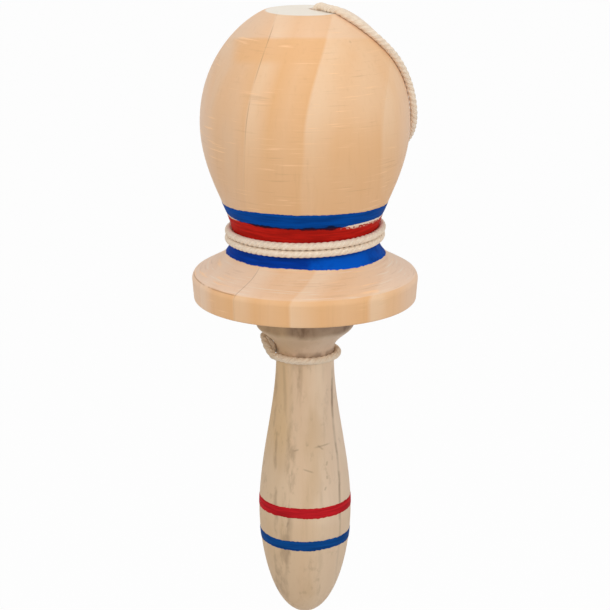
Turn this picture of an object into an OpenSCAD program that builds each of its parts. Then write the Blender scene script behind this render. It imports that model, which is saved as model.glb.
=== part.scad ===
// Cup and ball toy: a turned wooden bell parked on the peg of a turned handle, with its cord wound away.
// Millimetres. The origin is the middle of the hand grip, on the axis, and +Z runs up to the bell.

/* [Bell] */
// Height of the bell from its underside to the flat on top
bell_h = 101.4; // [96:0.2:110]
// Diameter of the flat on top
facet_d = 28; // [22:0.5:34]
// Widest diameter of the belly
belly_d = 72.8; // [68:0.2:78]
// Height of the belly's widest ring above the underside
belly_h = 63; // [59:0.5:68]
// Diameter of the waist that the cord is wound round
waist_d = 50.8; // [48:0.2:54]
// Height of the waist above the underside
waist_h = 23.5; // [21:0.5:26]
// Widest diameter of the flange
flange_d = 80; // [76:0.5:90]
// Height of the flange's upright rim
rim_h = 8.9; // [6:0.1:11]
// How far the rim draws in on the radius at its lower edge
rim_draft = 0.7; // [0.2:0.1:1.5]
// Rounding of the rim's lower edge
rim_round = 0.8; // [0.3:0.1:1.5]
// Easing of the rim's upper edge, measured along both faces
rim_ease = 1.4; // [0.5:0.1:2.5]

/* [Bell curve] */
// How far the shoulder sets out across from the flat on top
shoulder_run = 9; // [6:0.5:12]
// How far the shoulder drops over that run
shoulder_drop = 4; // [2:0.5:6]
// Fullness of the shoulder above the belly
shoulder_full = 21; // [16:0.5:25]
// Fullness of the side below the belly
side_full = 18; // [13:0.5:22]
// Fullness of the side above the waist
waist_full = 8; // [5:0.5:13]
// Fullness of the flare below the waist
flare_full = 8.7; // [6:0.1:11]
// Run of the flare's slope where it meets the rim
flare_run = 5.5; // [4:0.1:8]
// Rise of the flare's slope over that run
flare_rise = 3.7; // [2.5:0.1:5]

/* [Socket] */
// Diameter of the socket that catches the peg
socket_d = 22; // [20:0.5:26]
// Depth of the socket above the bell's underside
socket_h = 56; // [54:0.5:64]
// Easing of the socket's mouth
mouth_ease = 1.5; // [0.5:0.1:2.5]
// Depth of the shallow seat for the collar in the bell's underside
seat_h = 1.2; // [0.6:0.1:2.5]
// Gap round the collar in that seat
seat_gap = 1.5; // [0.8:0.1:3]

/* [Handle] */
// Height of the bell's underside above the grip's widest ring
underside_z = 80; // [78:0.5:86]
// Diameter of the collar that the bell sits on
collar_d = 35; // [32:0.5:37]
// Height of the collar's straight side
collar_h = 10.7; // [9:0.1:12]
// Rounding of the collar's upper edge
collar_round = 1; // [0.4:0.1:2]
// Height of the hollow between the collar and the neck
cove_h = 9.5; // [8:0.1:11]
// Fullness of the hollow at the neck
cove_full = 4.7; // [3.5:0.1:6]
// Fullness of the hollow under the collar
bead_full = 2.4; // [1.5:0.1:3.5]
// Diameter of the neck that the cord is tied round
neck_d = 20.7; // [18:0.1:24]
// Height of the straight neck
neck_h = 3; // [2.8:0.1:6]
// Widest diameter of the hand grip
grip_d = 33.4; // [30:0.2:37]
// Fullness of the grip below the neck
grip_full = 18.5; // [12:0.5:24]
// Fullness of the grip above its widest ring
swell_full = 20; // [14:0.5:26]
// Length of the butt below the grip's widest ring
butt_h = 41; // [36:0.5:48]
// Fullness of the butt below the widest ring
butt_full = 16.3; // [12:0.1:20]
// Breadth of the butt's rounded end
butt_run = 11.5; // [8:0.1:14]

/* [Peg] */
// Diameter of the peg at the collar
peg_d = 17; // [15:0.2:18]
// Diameter of the peg just under its rounded tip
peg_tip_d = 14.4; // [12:0.2:16]
// Length of the peg above the collar
peg_h = 40; // [34:0.5:44]
// Length of the peg's rounded tip
peg_round = 5; // [3:0.5:7]

/* [Paint] */
// Thickness of a coat of paint
paint_t = 0.15; // [0.1:0.05:0.3]
// Lower edge of the bell's upper blue band above the underside
upper_blue_h = 31.2; // [29:0.1:34]
// Width of the bell's upper blue band
upper_blue_w = 5.1; // [3:0.1:6]
// Lower edge of the bell's red band above the underside
bell_red_h = 25.4; // [24.6:0.1:27]
// Gap of bare wood between the red band and the blue one above it
bell_red_gap = 0.2; // [0.1:0.1:1]
// Lower edge of the bell's lower blue band above the underside
lower_blue_h = 17.1; // [15:0.1:19]
// Width of the bell's lower blue band
lower_blue_w = 6.7; // [4:0.1:7]
// Lower edge of the handle's red band above the grip's widest ring
grip_red_z = 2.2; // [-2:0.1:4]
// Width of the handle's red band
grip_red_w = 3.7; // [2:0.1:5]
// Gap of bare wood between the handle's two bands
grip_bands_gap = 9.3; // [6:0.1:12]
// Width of the handle's blue band
grip_blue_w = 3.5; // [2:0.1:5]

/* [Cord] */
// Diameter of the twisted cotton cord
cord_d = 2.6; // [2:0.1:2.7]
// Gap between the cord and the wood that it lies on
cord_gap = 0.3; // [0.2:0.05:0.5]
// Gap round the cord in its hole through the bell
cord_hole_gap = 0.45; // [0.3:0.05:0.8]
// Place of the cord hole to the right of the bell's axis
cord_hole_x = 3; // [2:0.5:5]
// Place of the cord hole behind the bell's axis
cord_hole_y = 3.6; // [0:0.1:5]
// Direction, round the axis, in which the cord leaves its hole
cord_leaves = -62; // [-75:1:-45]
// Height of the first waist turn at the front, above the bell's underside
turn_h = 25.2; // [24:0.1:27]
// Height from one waist turn to the next
turn_pitch = 2.8; // [2.8:0.05:3.4]
// Direction, round the axis, in which the waist turns begin
turn_start = 30; // [15:1:45]
// Sweep of the waist turns, in degrees
turn_sweep = 630; // [600:15:660]
// Width of the knot that ties the cord round the neck
neck_knot_d = 4.6; // [4.2:0.2:4.8]
// Width of the stopper knot inside the socket
stopper_knot_d = 6.8; // [5.6:0.2:9]
// Height of the stopper knot
stopper_knot_h = 5.4; // [4:0.2:7]

/* [Hidden] */
$fn = 96;
// Straight steps along each turned curve
curve_steps = 14;
// Straight steps round each eased edge
edge_steps = 4;
// Sides of the cord on its free stretches and on its turns
free_sides = 8;
turn_sides = 6;
// Rings of the cord on one turn
turn_rings = 24;
// Space left where two lengths of cord meet end to end
cord_joint = 0.05;

facet_r = facet_d / 2;
belly_r = belly_d / 2;
waist_r = waist_d / 2;
flange_r = flange_d / 2;
socket_r = socket_d / 2;
collar_r = collar_d / 2;
seat_r = collar_r + seat_gap;
neck_r = neck_d / 2;
grip_r = grip_d / 2;
cord_r = cord_d / 2;
cord_hole_r = cord_r + cord_hole_gap;

bell_top = underside_z + bell_h;
belly_z = underside_z + belly_h;
waist_z = underside_z + waist_h;
rim_top = underside_z + rim_h;
collar_top = underside_z + seat_h;
socket_top = underside_z + socket_h;
collar_low = collar_top - collar_h;
neck_top = collar_low - cove_h;
neck_low = neck_top - neck_h;
peg_top = collar_top + peg_h;

// A vector of length one in the direction of v
function unit(v) = v / norm(v);

// The points of a list after its first
function tail(list) = [for (i = [1:len(list) - 1]) list[i]];

// Points of a smooth curve from a to d that leaves towards b and arrives from c
function curve(a, b, c, d, steps) =
    [for (i = [0:steps])
        let (t = i / steps, u = 1 - t)
        u * u * u * a + 3 * u * u * t * b + 3 * u * t * t * c + t * t * t * d];

// Points that ease a corner, from a point before it to a point after it
function eased(before, corner, after) =
    curve(before, (before + 2 * corner) / 3, (after + 2 * corner) / 3, after, edge_steps);

// Radius of a turned side at a height
function side_r(outline, z) = lookup(z, [for (p = outline) [p.y, p.x]]);

// The bell's outside, from the edge of the flat on top down to the flange's underside
rim_corner = [flange_r, rim_top];
flare_way = unit([flare_run, -flare_rise]);
rim_foot = [flange_r - rim_draft, underside_z];
rim_way = unit(rim_foot - rim_corner);
flare_end = rim_corner - rim_ease * flare_way;
rim_start = rim_corner + rim_ease * rim_way;
shoulder = curve([facet_r, bell_top], [facet_r + shoulder_run, bell_top - shoulder_drop],
                 [belly_r, belly_z + shoulder_full], [belly_r, belly_z], curve_steps);
side = curve([belly_r, belly_z], [belly_r, belly_z - side_full],
             [waist_r, waist_z + waist_full], [waist_r, waist_z], curve_steps);
flare = curve([waist_r, waist_z], [waist_r, waist_z - flare_full],
              rim_corner + [-flare_run, flare_rise], flare_end, curve_steps);
bell_side = concat(shoulder, tail(side), tail(flare), tail(eased(flare_end, rim_corner, rim_start)));
rim_edge = eased(rim_foot - rim_round * rim_way, rim_foot, rim_foot - [rim_round, 0]);

// The handle's outside, from the collar's upper edge down to the tip of the butt
collar_corner = [collar_r, collar_top];
collar_edge = eased(collar_corner - [collar_round, 0], collar_corner, collar_corner - [0, collar_round]);
cove = curve([collar_r, collar_low], [collar_r, collar_low - bead_full],
             [neck_r, neck_top + cove_full], [neck_r, neck_top], curve_steps);
grip = curve([neck_r, neck_low], [neck_r, neck_low - grip_full],
             [grip_r, swell_full], [grip_r, 0], curve_steps);
butt = curve([grip_r, 0], [grip_r, -butt_full], [butt_run, -butt_h], [0, -butt_h], curve_steps);
handle_side = concat(collar_edge, cove, grip, tail(butt));

// The peg's rounded tip, from its top to its side
peg_tip_r = peg_tip_d / 2;
peg_tip = eased([0, peg_top], [peg_tip_r, peg_top], [peg_tip_r, peg_top - peg_round]);

// The cord's bend out of its hole, and the way that it then takes over the shoulder and down behind the
// right side
hole_bend_r = 2 * cord_d;
hole_bend_z = bell_top + cord_r + cord_gap - hole_bend_r;
top_points = [
    [3, 3.6, 136], [3, 3.6, 146], [3, 3.6, 156], [3, 3.6, 166], [3, 3.6, 174], [3, 3.6, 177.8],
    [3.3, 3, 180.4], [4.2, 1.3, 182.3], [5.4, -1, 183], [7.1, -4, 183.1], [9.1, -7.1, 183.1],
    [11.3, -9.5, 182.9], [13.7, -10.6, 181.3], [16.2, -10.9, 179.9], [18.6, -11.1, 178.3],
    [21, -11, 176.5], [23.6, -10.4, 174.4], [26.2, -9.6, 172], [28.6, -8.3, 169.4],
    [30.8, -6.8, 166.7], [32.7, -5.5, 163.8], [34.3, -4.2, 160.5], [35.8, -3, 157],
    [36.9, -2.1, 153.2], [37.6, -1, 149.4], [37.9, 0.5, 145.2], [37.8, 3.2, 140.9], [36.9, 7.2, 136.9],
    [35, 11.9, 133.2], [32.1, 16.7, 129.6], [28.1, 20.8, 125.4], [24.1, 22.9, 120.6], [20.9, 23.2, 115.8],
    [19.6, 22.4, 111.8], [19.8, 20.8, 108.8], [20.6, 19.4, 107.2]
];

// The waist turns run right, front, left and back, sinking one pitch a turn, and lie on the painted waist
turn_step = 360 / turn_rings;
turn_front_sweep = turn_start + 90;
function turn_at(sweep) =
    let (z = underside_z + turn_h + turn_pitch * (turn_front_sweep - sweep) / 360,
         r = (side_r(bell_side, z) + paint_t + cord_gap + cord_r) / cos(turn_step / 2))
    [r * cos(turn_start - sweep), r * sin(turn_start - sweep), z];
turns = [for (sweep = [0:turn_step:turn_sweep]) turn_at(sweep)];
turns_end = len(turns) - 1;
turns_in = unit(turns[1] - turns[0]);
turns_out = unit(turns[turns_end] - turns[turns_end - 1]);
turns_route = concat([turns[0] - cord_d * turns_in], turns, [turns[turns_end] + cord_d * turns_out]);
turns_first = turns_route[0];
turns_last = turns_route[len(turns_route) - 1];
top_route = concat(top_points,
                   [turns_first - 2 * turns_in, turns_first - cord_joint * turns_in]);

// The cord's drop at the back: down the flare, over the rim, and sagging round to the knot at the neck's left
drop_points = [
    [-8.6, 27.2, 99.5], [-8.1, 28.7, 97.6], [-7.9, 31, 95.6], [-7.6, 34.4, 93.7], [-7.4, 37.8, 91.9],
    [-7.3, 40.7, 90.1], [-7.2, 41.3, 87], [-7.2, 41.3, 82], [-7.2, 41.3, 77], [-7.2, 41, 72],
    [-7.2, 40.2, 67], [-7.3, 38.4, 62.4], [-7.5, 35.2, 58.4], [-7.8, 30.8, 55.6], [-8.3, 25.6, 54.4],
    [-9.2, 20.4, 54.6], [-10.4, 15.6, 55.8], [-11.8, 11.2, 57.4], [-13.2, 7.2, 59.2], [-14.3, 3.8, 60.7],
    [-14.3, 2.1, 61.1]
];
drop_route = concat([turns_last + cord_joint * turns_out, turns_last + 2 * turns_out], drop_points);

// The loop round the neck starts and ends in the knot at the left
loop_r = (neck_r + cord_gap + cord_r) / cos(turn_step / 2);
loop_z = (neck_top + neck_low) / 2;
loop_end_gap = 0.5;
loop_open = asin((cord_d + loop_end_gap) / (2 * loop_r));
loop_sweep = 360 - 2 * loop_open;
loop_route = [for (i = [0:turn_rings])
    let (a = 180 + loop_open + loop_sweep * i / turn_rings)
    [loop_r * cos(a), loop_r * sin(a), loop_z]];
neck_knot_at = [-loop_r - 0.9, 0.3, loop_z + 1.8];
neck_knot_peak = [-loop_r - 3.1, 0.4, loop_z + 5.4];

// The stopper knot's side, from its flat top round to its foot
stopper_r = stopper_knot_d / 2;
stopper_flat_r = cord_hole_r + 0.7;
stopper_foot = socket_top - stopper_knot_h;

// Least space between two lengths of one route that lie at least some rings apart
function least_gap(route, apart) =
    min([for (i = [0:len(route) - 1 - apart]) for (j = [i + apart:len(route) - 1])
        norm(route[i] - route[j])]) - cord_d;
echo(waist_turns_least_gap = least_gap(turns_route, turn_rings / 2));
echo(neck_loop_least_gap = least_gap(loop_route, turn_rings / 2));

// Direction of a route at one of its points
function way_at(route, i) =
    unit(route[min(i + 1, len(route) - 1)] - route[max(i - 1, 0)]);

// The part of v that stands square to a direction
function square_to(v, way) = unit(v - (v * way) * way);

// A side direction for each point of a route, carried along without twisting
function side_ways(route, start) = [
    for (i = 0, s = square_to(start, way_at(route, 0)); i < len(route);
         i = i + 1, s = i < len(route) ? square_to(s, way_at(route, i)) : s) s];

// A length of cord along a route
module cord(route, sides, start = [0.1, 1, 0.2]) {
    ways = side_ways(route, start);
    last = len(route) - 1;
    points = [
        for (i = [0:last]) for (j = [0:sides - 1])
            let (a = 360 * j / sides, across = cross(way_at(route, i), ways[i]))
            route[i] + cord_r * (cos(a) * ways[i] + sin(a) * across)
    ];
    walls = [
        for (i = [0:last - 1]) for (j = [0:sides - 1])
            let (a = i * sides + j, b = i * sides + (j + 1) % sides)
            each [[a, a + sides, b], [b, a + sides, b + sides]]
    ];
    near_cap = [for (j = [1:sides - 2]) [0, j, j + 1]];
    end = last * sides;
    far_cap = [for (j = [1:sides - 2]) [end, end + j + 1, end + j]];
    polyhedron(points, concat(walls, near_cap, far_cap));
}

// A coat of paint round a turned side, between two heights
module coat(outline, low, high) {
    wood = concat([[side_r(outline, high), high]],
                  [for (p = outline) if (p.y < high && p.y > low) p],
                  [[side_r(outline, low), low]]);
    face = [for (i = [len(wood) - 1:-1:0]) wood[i] + [paint_t, 0]];
    rotate_extrude() polygon(concat(wood, face));
}

// The hole for the cord, with its mouth eased to the cord's bend on the side that the cord leaves by
module cord_hole() {
    translate([cord_hole_x, cord_hole_y, 0]) rotate(cord_leaves) {
        translate([0, 0, socket_top - 1]) cylinder(r = cord_hole_r, h = hole_bend_z - socket_top + 1);
        translate([hole_bend_r, 0, hole_bend_z]) rotate([90, 0, 0])
            rotate_extrude(angle = 84, start = 96) translate([hole_bend_r, 0]) circle(r = cord_hole_r);
        translate([0, 0, hole_bend_z]) cylinder(r = cord_hole_r, h = bell_top - hole_bend_z + 1);
    }
}

module bell() {
    socket = [[seat_r, underside_z], [seat_r, collar_top], [socket_r + mouth_ease, collar_top],
              [socket_r, collar_top + mouth_ease], [socket_r, socket_top], [0, socket_top]];
    color("burlywood") difference() {
        rotate_extrude() polygon(concat([[0, bell_top]], bell_side, rim_edge, socket));
        cord_hole();
    }
}

module bell_band_upper_blue() {
    low = underside_z + upper_blue_h;
    color("royalblue") coat(bell_side, low, low + upper_blue_w);
}

module bell_band_red() {
    color("firebrick") coat(bell_side, underside_z + bell_red_h, underside_z + upper_blue_h - bell_red_gap);
}

module bell_band_lower_blue() {
    low = underside_z + lower_blue_h;
    color("royalblue") coat(bell_side, low, low + lower_blue_w);
}

module handle() {
    color("tan") rotate_extrude()
        polygon(concat(peg_tip, [[peg_d / 2, collar_top]], handle_side));
}

module handle_band_red() {
    color("firebrick") coat(handle_side, grip_red_z, grip_red_z + grip_red_w);
}

module handle_band_blue() {
    high = grip_red_z - grip_bands_gap;
    color("royalblue") coat(handle_side, high - grip_blue_w, high);
}

module cord_top_stretch() { color("ivory") cord(top_route, free_sides); }

module cord_waist_winding() { color("ivory") cord(turns_route, turn_sides); }

module cord_drop() { color("ivory") cord(drop_route, free_sides); }

module cord_neck_loop() { color("ivory") cord(loop_route, turn_sides); }

module cord_neck_knot() {
    color("ivory") hull() {
        translate(neck_knot_at) sphere(d = neck_knot_d, $fn = 20);
        translate(neck_knot_peak) sphere(d = cord_d, $fn = 20);
    }
}

module cord_stopper_knot() {
    outline = concat([[0, socket_top]],
                     curve([stopper_flat_r, socket_top], [stopper_r, socket_top],
                           [stopper_r, stopper_foot], [0, stopper_foot], curve_steps));
    color("ivory") translate([cord_hole_x, cord_hole_y, 0]) rotate_extrude() polygon(outline);
}

bell();
bell_band_upper_blue();
bell_band_red();
bell_band_lower_blue();
handle();
handle_band_red();
handle_band_blue();
cord_top_stretch();
cord_waist_winding();
cord_drop();
cord_neck_loop();
cord_neck_knot();
cord_stopper_knot();
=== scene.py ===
"""Cup and ball toy: a turned bell on its peg handle, with painted bands and a twisted cord wound away."""

import math

import bmesh
import bpy
from bpy.props import FloatProperty, FloatVectorProperty, IntProperty, PointerProperty
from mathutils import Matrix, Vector, noise


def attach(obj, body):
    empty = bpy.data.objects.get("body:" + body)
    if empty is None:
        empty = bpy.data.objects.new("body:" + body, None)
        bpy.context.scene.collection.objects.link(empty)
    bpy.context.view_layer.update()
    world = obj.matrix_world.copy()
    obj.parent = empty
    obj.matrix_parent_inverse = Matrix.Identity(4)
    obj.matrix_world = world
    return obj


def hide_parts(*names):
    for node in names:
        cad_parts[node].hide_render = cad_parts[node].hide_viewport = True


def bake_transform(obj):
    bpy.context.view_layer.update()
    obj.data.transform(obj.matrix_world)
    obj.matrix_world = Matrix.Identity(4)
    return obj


bl_info = {
    "name": "Cup and Ball Toy",
    "version": (1, 0, 0),
    "blender": (4, 5, 0),
    "location": "3D View > Sidebar > Toy",
    "description": "Builds the wood, paint and cord of a turned cup and ball toy",
    "category": "Add Mesh",
}

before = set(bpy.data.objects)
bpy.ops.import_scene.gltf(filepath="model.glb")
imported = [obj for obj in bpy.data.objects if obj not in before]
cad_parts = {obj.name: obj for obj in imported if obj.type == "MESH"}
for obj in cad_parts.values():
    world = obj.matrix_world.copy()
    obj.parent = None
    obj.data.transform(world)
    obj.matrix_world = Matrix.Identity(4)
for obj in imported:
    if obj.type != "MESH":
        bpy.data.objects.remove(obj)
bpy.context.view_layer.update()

MM = 0.001

# Height of the bell's underside above the grip's widest ring, which is the origin
UNDERSIDE = 80 * MM

# Depth of the shallow seat in the underside, into which the collar stands up
SEAT = 1.2 * MM


def length(name, description, default):
    """A size in metres, given in millimetres."""
    return FloatProperty(name=name, description=description, default=default * MM, unit="LENGTH", precision=5)


def colour(name, description, red, green, blue):
    """A colour as it looks on screen, from 0 to 255."""
    linear = [channel_to_linear(c / 255) for c in (red, green, blue)]
    return FloatVectorProperty(name=name, description=description, default=linear, subtype="COLOR",
                               min=0, max=1, size=3)


def channel_to_linear(c):
    """A channel of a screen colour as a share of light, both from 0 to 1."""
    return c / 12.92 if c <= 0.04045 else ((c + 0.055) / 1.055) ** 2.4


class ToyBell(bpy.types.PropertyGroup):
    """Sizes and colours of the bell."""
    height: length("Height", "From the underside to the flat on top", 101.4)
    facet: length("Flat on top", "Diameter of the flat on top", 28)
    belly: length("Belly", "Widest diameter of the belly", 72.8)
    belly_height: length("Belly height", "Height of the widest ring above the underside", 63)
    waist: length("Waist", "Diameter of the waist", 50.8)
    waist_height: length("Waist height", "Height of the waist above the underside", 23.5)
    flange: length("Flange", "Widest diameter of the flange", 80)
    rim: length("Rim", "Height of the flange's upright rim", 8.9)
    socket: length("Socket", "Diameter of the socket that catches the peg", 22)
    socket_depth: length("Socket depth", "Depth of the socket above the underside", 56)
    facets: IntProperty(name="Facets", description="Steps round the turned wood", default=224, min=24)
    early: colour("Early wood", "Pale colour of the growth rings", 236, 198, 159)
    late: colour("Late wood", "Ripe colour of the growth rings", 230, 178, 125)
    heart: colour("Heartwood", "Pinker colour of the wood inside the first ring", 224, 189, 156)
    line: colour("Grain line", "Colour of the dark lines and specks", 150, 98, 58)
    # Painted light: the flare, the sides and the head's top are tinted paler and pinker with this, as top
    # light and as a reflection of the white surround
    highlit: colour("Highlit flare", "Pale pinkish colour of the flare and the sides", 235, 206, 182)
    stroke: colour("Tool stroke", "Warm pale colour of the marks that the tool left", 250, 205, 156)
    # Near-white: a painted highlight of the top light on the flat on top and the shoulder, and the pale wood
    # of the turning marks and of the strip between two bands
    pale_wood_and_highlight: colour("Pale wood and highlight", "Colour of the sanded flat on top", 240, 236, 225)


class ToyHandle(bpy.types.PropertyGroup):
    """Sizes and colours of the handle."""
    collar: length("Collar", "Diameter of the collar that the bell sits on", 35)
    collar_height: length("Collar height", "Height of the collar's straight side", 10.7)
    neck: length("Neck", "Diameter of the neck", 20.7)
    neck_height: length("Neck height", "Height of the straight neck", 3)
    grip: length("Grip", "Widest diameter of the hand grip", 33.4)
    butt: length("Butt", "Length of the butt below the widest ring", 41)
    peg: length("Peg", "Diameter of the peg at the collar", 17)
    peg_tip: length("Peg tip", "Diameter of the peg under its rounded tip", 14.4)
    peg_height: length("Peg height", "Length of the peg above the collar", 40)
    facets: IntProperty(name="Facets", description="Steps round the turned wood", default=160, min=24)
    early: colour("Early wood", "Pale colour of the growth rings", 223, 197, 167)
    late: colour("Late wood", "Ripe colour of the growth rings", 215, 184, 151)
    line: colour("Grain line", "Colour of the dark streaks and stains", 112, 88, 66)
    # Dirt and painted shade: darkens the collar under the flange, and marks the neck beside the cord's loop
    grime_and_shade: colour("Grime and shade", "Colour of the dirt on the collar", 88, 60, 38)
    sallow: colour("Sallow wood", "Colour of the yellower patches and of the left side", 200, 168, 130)
    wax: colour("Yellowed side", "Colour of the yellowed left side of the neck", 208, 172, 122)
    # Painted shade in the cove under the collar, greyer and pinker than the wood
    cove_shade: colour("Cove shade", "Greyish pink of the cove under the collar", 196, 168, 148)
    rosy: colour("Rosy wood", "Colour of the greyer, pinker right side", 225, 202, 179)


class ToyPaint(bpy.types.PropertyGroup):
    """Colours and brushwork of the painted bands."""
    coat: length("Coat", "Thickness of a coat of paint", 0.15)
    waver: length("Waver", "How far a band's edges wander", 0.22)
    jag: length("Jag", "How far the brush leaves an edge ragged", 0.2)
    upper_blue: colour("Upper blue", "Colour of the bell's upper blue band", 2, 70, 152)
    lower_blue: colour("Lower blue", "Colour of the bell's lower blue band", 4, 57, 154)
    bright_blue: colour("Bright blue", "Colour of the lower blue band where it is fresher", 2, 86, 194)
    bell_red: colour("Bell red", "Colour of the bell's red band", 187, 31, 22)
    grip_red: colour("Handle red", "Colour of the handle's red band", 187, 30, 38)
    grip_blue: colour("Handle blue", "Colour of the handle's blue band", 12, 70, 136)


class ToyCord(bpy.types.PropertyGroup):
    """Size and colour of the cord."""
    diameter: length("Diameter", "Thickness of the twisted cord", 2.6)
    lay: length("Lay", "Length of cord in which a strand goes once round", 6.6)
    rings: length("Ring spacing", "Length of cord between two rings of its mesh", 0.35)
    cotton: colour("Cotton", "Colour of the cord", 250, 236, 216)
    shade: colour("Cotton shade", "Colour between the cord's fibres", 230, 205, 178)
    # Darker, greyer tint of the cord from the flange down and at the knot
    lower_tint: colour("Lower tint", "Tint of the cord where hands have greyed it", 224, 220, 212)


class ToyStage(bpy.types.PropertyGroup):
    """The light and the floor."""
    drop: length("Floor drop", "How far the floor lies below the grip's widest ring", 320)
    lens: FloatProperty(name="Lens", description="Focal length of the camera in millimetres", default=115.1,
                        min=10)
    ambient: FloatProperty(name="Ambient", description="Strength of the light from all round", default=0.55,
                           min=0)
    lamps: FloatProperty(name="Lamps", description="Strength of the soft lamps", default=1.0, min=0)


class Net:
    """Adds nodes to a tree and links them."""

    def __init__(self, tree):
        self.tree = tree

    def node(self, kind, inputs=None, **settings):
        """A new node with these settings, and with a value or a link in each of these inputs."""
        made = self.tree.nodes.new(kind)
        for name, value in settings.items():
            setattr(made, name, value)
        for key, value in (inputs or {}).items():
            self.put(made.inputs[key], value)
        return made

    def put(self, socket, value):
        """Links a socket to another one, or sets its value."""
        if isinstance(value, bpy.types.NodeSocket):
            self.tree.links.new(value, socket)
        else:
            socket.default_value = value

    def math(self, operation, a, b=0.0, c=0.0):
        """The result of a sum on values."""
        return self.node("ShaderNodeMath", {0: a, 1: b, 2: c}, operation=operation).outputs[0]

    def times(self, first, *others):
        """The values multiplied together."""
        for other in others:
            first = self.math("MULTIPLY", first, other)
        return first

    def slope(self, value, rise, start):
        """A start, plus the value times a rise."""
        return self.math("MULTIPLY_ADD", value, rise, start)

    def off(self, value, middle):
        """How far the value is from a middle."""
        return self.math("ABSOLUTE", self.math("SUBTRACT", value, middle))

    def vector(self, operation, a, b=(0, 0, 0)):
        """The result of a sum on vectors."""
        return self.node("ShaderNodeVectorMath", {0: a, 1: b}, operation=operation).outputs[0]

    def parts(self, vector):
        """A vector's x, y and z."""
        return self.node("ShaderNodeSeparateXYZ", {0: vector}).outputs

    def joined(self, x=0.0, y=0.0, z=0.0):
        """A vector of x, y and z."""
        return self.node("ShaderNodeCombineXYZ", {0: x, 1: y, 2: z}).outputs[0]

    def reach(self, vector):
        """A vector's length."""
        return self.node("ShaderNodeVectorMath", {0: vector}, operation="LENGTH").outputs["Value"]

    def attribute(self, name, output="Fac"):
        """What the mesh carries under a name."""
        return self.node("ShaderNodeAttribute", attribute_name=name).outputs[output]

    def noise(self, vector, scale, detail=2.0, roughness=0.5):
        """Soft noise from about zero to one."""
        made = self.node("ShaderNodeTexNoise", {"Vector": vector, "Scale": scale, "Detail": detail,
                                                "Roughness": roughness})
        return made.outputs["Fac"]

    def grain(self, vector, squeeze, scale, detail=2.0, roughness=0.5):
        """Noise that is drawn out along the axis where squeeze is less than one."""
        return self.noise(self.vector("MULTIPLY", vector, (1, 1, squeeze)), scale, detail, roughness)

    def waver(self, vector, scale, amount):
        """Noise that strays to both sides of zero."""
        return self.times(self.math("SUBTRACT", self.noise(vector, scale), 0.5), amount)

    def between(self, value, none, full):
        """Zero at none, one at full and a smooth step between them, whichever of the two is greater."""
        made = self.node("ShaderNodeMapRange", {"Value": value, "From Min": none, "From Max": full},
                         interpolation_type="SMOOTHSTEP")
        return made.outputs["Result"]

    def mix(self, factor, a, b, blend="MIX"):
        """Colour a with colour b blended over it by a factor."""
        made = self.node("ShaderNodeMix", data_type="RGBA", blend_type=blend)
        self.put(made.inputs[0], factor)
        self.put(made.inputs[6], a)
        self.put(made.inputs[7], b)
        return made.outputs[2]

    def tint(self, base, rgb, mask, share=1.0):
        """The base with a colour laid over it, where the mask is and by a share."""
        return self.mix(self.times(mask, share), base, opaque(rgb))


def opaque(rgb):
    """A colour with full alpha, for a node's socket."""
    return (rgb[0], rgb[1], rgb[2], 1.0)


def darker(rgb, share):
    """A colour with this share of its light."""
    return [c * share for c in rgb]


def blend_colours(a, b, t):
    """A colour part of the way from a to b."""
    return [u + (v - u) * t for u, v in zip(a, b)]


def new_finish(name):
    """A new material, its net, its shader and its object coordinates."""
    material = bpy.data.materials.new(name)
    material.use_nodes = True
    net = Net(material.node_tree)
    shader = material.node_tree.nodes["Principled BSDF"]
    place = net.node("ShaderNodeTexCoord").outputs["Object"]
    return material, net, shader, place


def set_surface(net, shader, tone, roughness, gloss, relief, strength=0.3, depth=0.0002):
    """Gives a shader its colour, its roughness, its gloss and a fine relief."""
    net.put(shader.inputs["Base Color"], tone)
    net.put(shader.inputs["Roughness"], roughness)
    shader.inputs["Specular IOR Level"].default_value = gloss
    bump = net.node("ShaderNodeBump", {"Strength": strength, "Distance": depth, "Height": relief})
    net.put(shader.inputs["Normal"], bump.outputs[0])


# Number of the growth ring that starts at the given distance from the pith
COUNTED_RING = 6


def growth(net, place, pith, lean, ring, start, warp):
    """How ripe the wood is, counted in rings round a leaning pith, and the place along the grain.

    One ring is ring wide, and the counted one starts at the distance start from the pith.
    """
    x, y, z = net.parts(place)
    east, north = net.slope(z, -lean[0], x), net.slope(z, -lean[1], y)
    along = net.joined(east, north, z)
    across = net.joined(net.math("SUBTRACT", east, pith[0]), net.math("SUBTRACT", north, pith[1]))
    swirl = net.waver(net.vector("MULTIPLY", along, (1, 1, 0.35)), 40.0, warp)
    reach = net.math("ADD", swirl, net.reach(across))
    return net.math("DIVIDE", net.math("SUBTRACT", reach, start - COUNTED_RING * ring), ring), along


def ring_tone(net, rings, stops):
    """The wood's colour through each growth ring, by stops of place and colour."""
    tone = net.node("ShaderNodeValToRGB", {0: net.math("FRACT", rings)})
    ramp = tone.color_ramp
    while len(ramp.elements) < len(stops):
        ramp.elements.new(1.0)
    for element, (place, rgb) in zip(ramp.elements, stops):
        element.position = place
        element.color = opaque(rgb)
    return tone.outputs[0]


def bell_rings(net, bell, rings, z):
    """The bell's growth rings: evened out low on the head and pinker inside the first one."""
    half_ripe = blend_colours(bell.early, bell.late, 0.7)
    wood = ring_tone(net, rings, ((0.0, bell.early), (0.12, bell.early), (0.42, bell.late), (0.68, half_ripe),
                                  (0.95, bell.late), (1.0, bell.early)))
    outer_ring = net.times(net.between(rings, 6.95, 7.05), net.between(rings, 8.0, 7.96))
    wood = net.tint(wood, bell.early, net.times(outer_ring, net.between(z, 0.136, 0.156)), 0.6)
    on_head = net.between(z, 0.1, 0.108)
    wood = net.tint(wood, half_ripe, net.times(on_head, net.between(z, 0.156, 0.128)), 0.72)
    inside = net.times(net.between(rings, 6.0, 5.98), on_head)
    inner = net.times(net.between(rings, 5.99, 5.4), inside)
    return net.tint(wood, bell.heart, net.slope(inner, 0.55, net.times(inside, 0.3)))


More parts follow.
